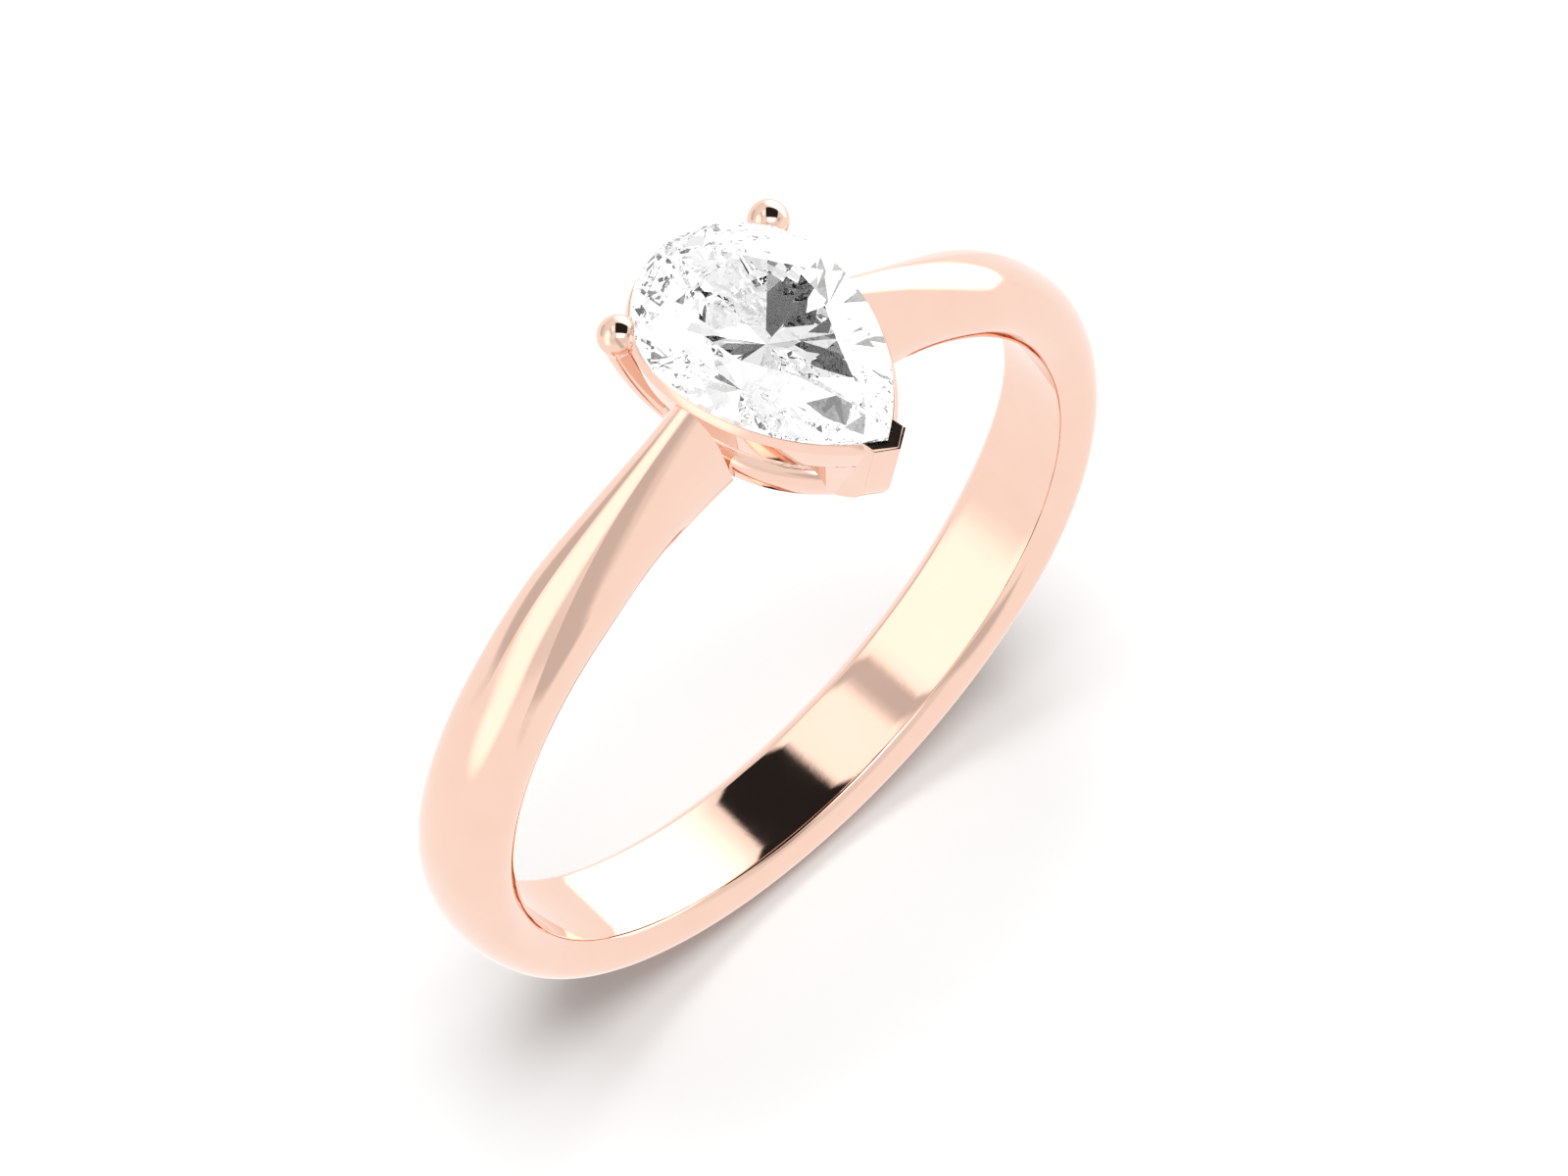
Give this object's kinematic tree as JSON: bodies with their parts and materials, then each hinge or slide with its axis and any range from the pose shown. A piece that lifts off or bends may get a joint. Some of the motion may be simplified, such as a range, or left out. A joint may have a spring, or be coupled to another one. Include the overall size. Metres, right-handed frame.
{
  "type": "solitaire engagement ring",
  "caption": "Finger ring with a D-section band, rising ridged shoulders and a claw-held pear-cut stone in a two-rail gallery.",
  "frame": {"origin": "centre of the finger hole", "axes": "+Y along the axis of the finger hole, away from the point of the pear; +Z from the centre of the hole up through the stone; +X across the head"},
  "size_m": [0.0198, 0.0071, 0.0219],
  "materials": {
    "rose_gold": "mirror-polished rose gold",
    "diamond": "polished flat facets"
  },
  "bodies": {
    "root": {"shank": "rose_gold", "left_shoulder": "rose_gold", "right_shoulder": "rose_gold", "lower_gallery_rail": "rose_gold", "upper_gallery_rail": "rose_gold", "left_claw": "rose_gold", "right_claw": "rose_gold", "tip_claw": "rose_gold", "left_tip_gusset": "rose_gold", "right_tip_gusset": "rose_gold", "pear_diamond": "diamond"}
  },
  "joints": []
}
